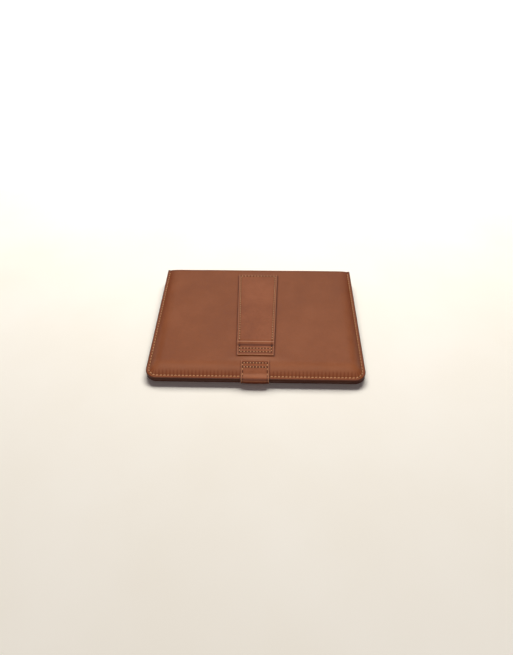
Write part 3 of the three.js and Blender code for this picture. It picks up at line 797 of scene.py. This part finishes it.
# Painted shadow in the step under the rolled crease, and a painted highlight on the roll's crest.
flap_painted_shadow = 1.3 * bell(flap_path[:, 0], FLAP_CREASE, 0.8)
flap_painted_highlight = 1.5 * bell(flap_path[:, 0], FLAP_CREASE + 2.8, 0.4)
ANCHOR_NEAR = FLAP_SEWN + 3.2
ANCHOR_FAR = FLAP_SEWN + 7.0
END_ROW = FLAP_END - 2.4
flap_seam = {"inset": 1.9, "rows": (ANCHOR_NEAR, ANCHOR_FAR, END_ROW)}
flap_strap = strap("stand_flap_strap", flap_path, slice(None), flap_half, flap_path[:, 1] - underside,
                   flap_seam, flap_painted_shadow, flap_painted_highlight)
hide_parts("flap_anchor", "flap_leather")
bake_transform(flap_strap)
near_side = flap_half(FLAP_SEWN) - flap_seam["inset"]
far_side = flap_half(FLAP_END) - flap_seam["inset"]
strap_seam("flap_anchor", flap_path, [
    (-near_side, ANCHOR_NEAR, near_side, ANCHOR_NEAR, 2.6),
    (-near_side, ANCHOR_FAR, near_side, ANCHOR_FAR, 2.6),
    (-near_side, ANCHOR_NEAR, -near_side, FLAP_SEWN + 9.4, 3.0),
    (near_side, ANCHOR_NEAR, near_side, FLAP_SEWN + 9.4, 3.0),
], "back_cover", flap_half, flap_seam)
side_start = FLAP_CREASE + 5.5
start_x = flap_half(side_start) - flap_seam["inset"]
strap_seam("flap_edge", flap_path, [
    (-start_x, side_start, -far_side, END_ROW, 3.0), (start_x, side_start, far_side, END_ROW, 3.0),
    (-far_side, END_ROW, far_side, END_ROW, 3.0),
], "stand_flap", flap_half, flap_seam, 1.9)


# Suede linings.
# Brushed pigskin split glued inside both covers, up the spine and behind the flap. Its nap lies in soft
# patches, and it is turned in and pressed thin along its edges.
def suede(name, tones):
    """Brushed split: no gloss, a soft bright nap at grazing angles, and clouded tones."""
    made, tree, shader, mm = surface(name, Roughness=0.95, Sheen_Weight=0.45, Sheen_Roughness=0.55)
    shader.inputs["Sheen Tint"].default_value = linear("#C9A48A")
    patch = put(tree, "ShaderNodeTexNoise", {"Vector": mm, "Scale": 0.05, "Detail": 5, "Distortion": 0.2})
    nap = put(tree, "ShaderNodeTexNoise", {"Vector": mm, "Scale": 3.1, "Detail": 4, "Roughness": 0.7})
    mixed = put(tree, "ShaderNodeMix", {"Factor": 0.45, "A": patch.outputs["Fac"], "B": nap.outputs["Fac"]})
    tone = ramp(tree, mixed.outputs[0], [(0.38, tones[0]), (0.5, tones[1]), (0.62, tones[2])])
    tree.links.new(tone, shader.inputs["Base Color"])
    bump(tree, shader, nap.outputs["Fac"], 0.09)
    return made


SUEDE = suede("brushed_pigskin_split", ("#513728", "#5E4030", "#6B4A39"))


def lining(name, node, top, thickness, half_width, y0, y1, corner, body, flip=1):
    """A panel of lining: top gives its shown face, and its edges are pressed down to a third."""
    swing = np.radians(np.linspace(0, 90, 9))
    rows = [*(y0 + corner * (1 - np.cos(swing))), *np.linspace(y0 + corner + 1, y1 - 0.6, 60), y1 - 0.25, y1]
    outer, inner = [], []
    for y in rows:
        run = min((y - y0) / corner, 1)
        half = half_width(y) - corner + corner * math.sqrt(1 - (1 - run) ** 2)
        x = half * np.sin(np.linspace(-math.pi / 2, math.pi / 2, 61))
        edge = np.minimum(half - np.abs(x), min(y - y0, y1 - y))
        full = top(x, np.full_like(x, y))
        base = full - flip * thickness
        nap = 0.03 * np.sin(x / 3.7 + y / 5.1) * ease(edge / 6)
        shown = base + flip * (thickness * (0.35 + 0.65 * ease(edge / 1.2)) + np.minimum(nap, 0))
        outer.append(np.stack([x, np.full_like(x, y), shown], -1))
        inner.append(np.stack([x, np.full_like(x, y), base], -1))
    made = grid_piece(name, np.array(outer), np.array(inner), SUEDE)
    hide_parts(node)
    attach(made, body)
    wide = 2 * max(half_width(y) for y in rows) * MM


low, high = span("front_cover_lining")
lining("front_cover_suede", "front_cover_lining", lambda x, y: 0 * x + high[2], 0.3, lambda y: high[0],
       low[1], high[1], 6.65, "front_cover")
low, high = span("flap_lining")
lining("flap_suede", "flap_lining", lambda x, y: 0 * x + CROWN + 0.36, 0.38, lambda y: flap_half(y) - 0.3,
       low[1], high[1] - 0.3, 0.8, "stand_flap", flip=-1)
back_low, back_high = span("back_cover_lining")
LINING_SLACK = 1.0
BOARD_INSET = 15.2


def back_lining(x, y):
    rim = np.minimum(HALF_WIDTH - np.abs(x), y - NEAR)
    folded = (RIM_THICKNESS - SKIN) * (1 - ease((rim - SLOPE_START) / 4))
    board = (0.85 - LINING_SLACK) * ease((rim - BOARD_INSET + 3) / 3)
    return crown(x, y) - SKIN - folded - LINING_SLACK - board - 0.3


lining("back_cover_suede", "back_cover_lining", back_lining, 0.3, lambda y: back_high[0],
       back_low[1], back_high[1], 3.0, "back_cover", flip=-1)
low, high = span("spine_lining")
spine_shape = np.array([[(x, high[1] - 0.02 * math.sin(x / 6), z) for x in np.linspace(low[0], high[0], 81)]
                        for z in np.linspace(low[2], high[2] - 1.4, 12)])
spine_suede = grid_piece("spine_suede", spine_shape - (0, 0.28, 0), spine_shape, SUEDE)
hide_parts("spine_lining")
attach(spine_suede, "spine")


# Boards, plates and magnets.
# Grey pressed fibreboard stiffens the covers, the spine and the flap. Nickel-plated steel plates are let
# into it, and the tab and the flap each carry a plated magnet that finds its plate through the leather.
def dress(names, material, edge=0.12):
    """Gives CAD pieces their material and breaks their sharp edges, width edge in mm."""
    for name in names:
        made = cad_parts[name]
        made.data.materials.clear()
        made.data.materials.append(material)
        eased = made.modifiers.new("eased_edges", "BEVEL")
        eased.width = edge * MM
        eased.segments = 2
        eased.limit_method = "ANGLE"
        eased.angle_limit = math.radians(40)
        eased.harden_normals = True


def grained(name, tones, scale, depth, rough, detail=4, stretch=(1, 1, 1), **values):
    """A material with a noise grain in its colour, gloss and relief; scale is cycles to a mm."""
    made, tree, shader, mm = surface(name, **values)
    at = put(tree, "ShaderNodeVectorMath", {0: mm, 1: stretch}, operation="MULTIPLY").outputs[0]
    grain = put(tree, "ShaderNodeTexNoise", {
        "Vector": at, "Scale": scale, "Detail": detail, "Roughness": 0.6,
    })
    wide = put(tree, "ShaderNodeTexNoise", {"Vector": mm, "Scale": 0.05, "Detail": 2})
    mixed = put(tree, "ShaderNodeMix", {"Factor": 0.35, "A": grain.outputs["Fac"], "B": wide.outputs["Fac"]})
    tone = ramp(tree, mixed.outputs[0], [(0.35, tones[0]), (0.65, tones[1])])
    tree.links.new(tone, shader.inputs["Base Color"])
    gloss = put(tree, "ShaderNodeMapRange", {
        "Value": mixed.outputs[0], "To Min": rough[0], "To Max": rough[1],
    })
    tree.links.new(gloss.outputs[0], shader.inputs["Roughness"])
    bump(tree, shader, grain.outputs["Fac"], depth)
    return made


# Pressed fibre: dull and grey, streaked one way.
FIBREBOARD = grained("pressed_grey_fibreboard", ("#7A7268", "#A39A8D"), 1.4, 0.05, (0.8, 0.95),
                     stretch=(0.3, 1, 1))
# Rolled and plated: bright, with fine lines along the rolling.
STEEL = grained("rolled_nickel_plated_steel", ("#9C9FA2", "#C3C5C7"), 2.2, 0.008, (0.24, 0.42),
                stretch=(0.05, 1, 1), Metallic=1)
# Barrel-plated: brighter and even, with no direction.
MAGNET = grained("nickel_plated_magnet", ("#9A9C9E", "#B9BBBD"), 0.9, 0.012, (0.16, 0.3), Metallic=1)
dress(["front_cover_board", "back_cover_board", "spine_stiffener", "flap_stiffener"], FIBREBOARD, 0.1)
dress(["tab_keeper_plate", "flap_keeper_plate"], STEEL, 0.1)
dress(["tab_magnet", "flap_magnet"], MAGNET, 0.08)


# Corner loops.
# Black ribbed elastic sewn into the back cover: each band comes up one side of the reader, crosses its
# corner on the slant and goes down the other side, stretched tight enough to bow a little.
# Woven rubber-cored tape: dull black, with slanting ribs and a fine weft between them.
ELASTIC, tree, shader, mm = surface("ribbed_woven_elastic", Roughness=0.8, Sheen_Weight=0.3)
ribs = put(tree, "ShaderNodeTexWave", {
    "Vector": mm, "Scale": 0.45, "Distortion": 0.4,
}, bands_direction="DIAGONAL")
weft = put(tree, "ShaderNodeTexNoise", {"Vector": mm, "Scale": 5.0, "Detail": 2})
weave = put(tree, "ShaderNodeMix", {"Factor": 0.4, "A": ribs.outputs["Fac"], "B": weft.outputs["Fac"]})
tone = ramp(tree, weave.outputs[0], [(0.2, "#141312"), (0.8, "#383431")])
tree.links.new(tone, shader.inputs["Base Color"])
bump(tree, shader, weave.outputs[0], 0.12)

reader_low, reader_high = span("reader_bezel")
reader_middle = (reader_low + reader_high) / 2
reader_half = (reader_high - reader_low) / 2
LOOP_WIDTH = 9.0
LOOP_REACH = 17.0 * math.sqrt(2)
LOOP_GAP = 0.6
LOOP_FACE = reader_low[2] - 0.3
for side_x, side_y, place in (
    (-1, -1, "near_left"), (1, -1, "near_right"), (-1, 1, "far_left"), (1, 1, "far_right"),
):
    across = np.linspace(-0.5, 0.5, 13)
    total = LOOP_REACH + across * LOOP_WIDTH * math.sqrt(2)
    leg = [(-LOOP_GAP, z) for z in np.linspace(8.3, LOOP_FACE + 0.7, 8)]
    leg += [(-LOOP_GAP + 0.5 * (1 - math.cos(a)), LOOP_FACE + 0.6 - 0.6 * math.sin(a))
            for a in np.radians([15, 35, 55, 75, 90])]
    outer = []
    for a, z in leg:
        outer.append(np.stack([np.full(13, a), total - a, np.full(13, z)], -1))
    for share in np.linspace(0.06, 0.94, 22):
        bow = 0.12 * math.sin(math.pi * share)
        outer.append(np.stack([total * share, total * (1 - share), np.full(13, LOOP_FACE - bow)], -1))
    for a, z in leg[::-1]:
        outer.append(np.stack([total - a, np.full(13, a), np.full(13, z)], -1))
    outer = np.array(outer)
    outer[..., 2] += 0.05 * np.abs(across * 2) ** 4
    step = np.gradient(outer, axis=0)
    width = np.gradient(outer, axis=1)
    normal = unit(np.cross(width, step))
    inward = normal if normal[20, 6, 2] > 0 else -normal
    inner = outer + 0.26 * inward
    loop = [np.stack([reader_middle[0] + side_x * (reader_half[0] - grid[..., 0]),
                      reader_middle[1] + side_y * (reader_half[1] - grid[..., 1]), grid[..., 2]], -1)
            for grid in (outer, inner)]
    band = grid_piece(f"elastic_corner_{place}", *loop, ELASTIC)
    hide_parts(f"corner_loop_{place}")
    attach(band, "back_cover")


# Reader shells.
# Two injection-moulded halves in dark grey, snapped together round the edge. The tool was spark-eroded,
# so the skin is a fine even matt texture.
MOULDED = grained("spark_textured_abs", ("#3E4043", "#4C4E52"), 4.0, 0.018, (0.42, 0.56), detail=2)
dress(["reader_rear_shell", "reader_bezel"], MOULDED, 0.35)


# Keys.
# Small moulded caps, darker and smoother than the shell, that stand a little proud of their holes.
KEYCAP = grained("satin_moulded_keycap", ("#232427", "#303236"), 1.2, 0.01, (0.28, 0.42))
dress([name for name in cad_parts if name.endswith("_key") or name.startswith("page_key")], KEYCAP, 0.4)


# Screen.
# Electronic paper behind a matt film: a pale grey ground that holds a sleep picture of low hills drawn in
# a few even greys, with a dithered grain. A foam gasket seals it to the bezel.
PAPER, tree, shader, mm = surface("electronic_paper_film", Roughness=0.55,
                                  Coat_Weight=0.15, Coat_Roughness=0.5)
split = put(tree, "ShaderNodeSeparateXYZ", {"Vector": mm})
tone = None
for base, swing, period, shift, colour in (
    (8, 6.0, 9.0, 0.4, "#9A9C97"), (-6, 7.0, 12.0, 2.1, "#7D7F7B"), (-20, 5.0, 7.5, 4.0, "#5D5F5C"),
):
    scaled = put(tree, "ShaderNodeMath", {
        0: split.outputs["Y"], 1: 1 / period, 2: shift,
    }, operation="MULTIPLY_ADD").outputs[0]
    wave = put(tree, "ShaderNodeMath", {0: scaled}, operation="SINE").outputs[0]
    ridge = put(tree, "ShaderNodeMath", {0: wave, 1: swing, 2: -base}, operation="MULTIPLY_ADD").outputs[0]
    inside = put(tree, "ShaderNodeMath", {
        0: split.outputs["X"], 1: ridge,
    }, operation="GREATER_THAN").outputs[0]
    tone = put(tree, "ShaderNodeMix", {
        0: inside, 6: tone.outputs[2] if tone else linear("#C4C6C0"), 7: linear(colour),
    }, data_type="RGBA")
dither = put(tree, "ShaderNodeTexWhiteNoise", {
    "Vector": put(tree, "ShaderNodeVectorMath", {0: mm, 1: (0.15, 0.15, 0.15)}, operation="SNAP").outputs[0],
})
speck = put(tree, "ShaderNodeMapRange", {"Value": dither.outputs["Value"], "To Min": 0.9, "To Max": 1.05})
grey = put(tree, "ShaderNodeVectorMath", {0: tone.outputs[2], "Scale": speck.outputs[0]}, operation="SCALE")
tree.links.new(grey.outputs[0], shader.inputs["Base Color"])
film = put(tree, "ShaderNodeTexNoise", {"Vector": mm, "Scale": 3.0})
bump(tree, shader, film.outputs["Fac"], 0.01)
dress(["screen_panel"], PAPER, 0.08)
# Foam cut from sheet: black and full of fine open cells at its edges.
FOAM = grained("closed_cell_foam", ("#0F0F10", "#2A2A2C"), 2.6, 0.12, (0.85, 0.98))
dress(["screen_gasket"], FOAM, 0.05)


# Inner frame, cell and boards.
# A die-cast magnesium tray carries the screen, the foil-wrapped cell and the main board. Switch boards sit
# under the keys, and a polyimide ribbon joins the screen to the main board.
# Cast and tumbled: a grey, faintly cloudy metal.
CASTING = grained("die_cast_magnesium", ("#8D9094", "#ABAEB1"), 1.1, 0.04, (0.42, 0.62), Metallic=1)
# Heat-sealed foil: bright and softly crumpled.
FOIL = grained("laminated_cell_foil", ("#A9ACB0", "#CDD0D3"), 0.35, 0.14, (0.28, 0.46), Metallic=0.85)
dress(["inner_frame"], CASTING, 0.1)
dress(["battery"], FOIL, 0.5)

# Lacquer over copper: glossy green, with paler tracks beneath it.
MASK, tree, shader, mm = surface("green_solder_mask", Roughness=0.4, Coat_Weight=0.4, Coat_Roughness=0.2)
cells = put(tree, "ShaderNodeTexVoronoi", {"Vector": mm, "Scale": 0.32}, feature="DISTANCE_TO_EDGE")
tracks = put(tree, "ShaderNodeMapRange", {
    "Value": cells.outputs["Distance"], "From Min": 0.03, "From Max": 0.06,
})
weave = put(tree, "ShaderNodeTexNoise", {"Vector": mm, "Scale": 1.6, "Detail": 2})
tone = ramp(tree, tracks.outputs[0], [(0.2, "#2F7A50"), (0.8, "#17492E")])
tree.links.new(tone, shader.inputs["Base Color"])
raised = put(tree, "ShaderNodeMix", {"Factor": 0.2, "A": tracks.outputs[0], "B": weave.outputs["Fac"]})
bump(tree, shader, raised.outputs[0], 0.03)
dress(["main_board", "keypad_board", "page_board_near", "page_board_far"], MASK, 0.06)

# Amber film over fine copper lines.
RIBBON, tree, shader, mm = surface("polyimide_ribbon", Roughness=0.35, Coat_Weight=0.3)
lines = put(tree, "ShaderNodeTexWave", {"Vector": mm, "Scale": 0.5, "Distortion": 0.05}, bands_direction="Y")
tone = ramp(tree, lines.outputs["Fac"], [(0.4, "#8A4E16"), (0.6, "#C58432")])
tree.links.new(tone, shader.inputs["Base Color"])
bump(tree, shader, lines.outputs["Fac"], 0.02)
dress(["screen_ribbon"], RIBBON, 0.03)

# Moulded resin: black and slightly rough.
EPOXY = grained("moulded_chip_epoxy", ("#0E0F10", "#1E1F21"), 3.0, 0.015, (0.4, 0.6))
# Clear acrylic: a small glassy glint.
LENS = grained("clear_light_pipe", ("#DCE8EC", "#F2FAFC"), 0.8, 0.004, (0.04, 0.1),
               Transmission_Weight=0.9, IOR=1.49)
dress(["memory_chip"], EPOXY, 0.1)
dress(["charge_light_lens"], LENS, 0.15)
dress(["shield_can", "charging_socket", "board_screw_1", "board_screw_2", "board_screw_3", "board_screw_4"],
      STEEL, 0.08)
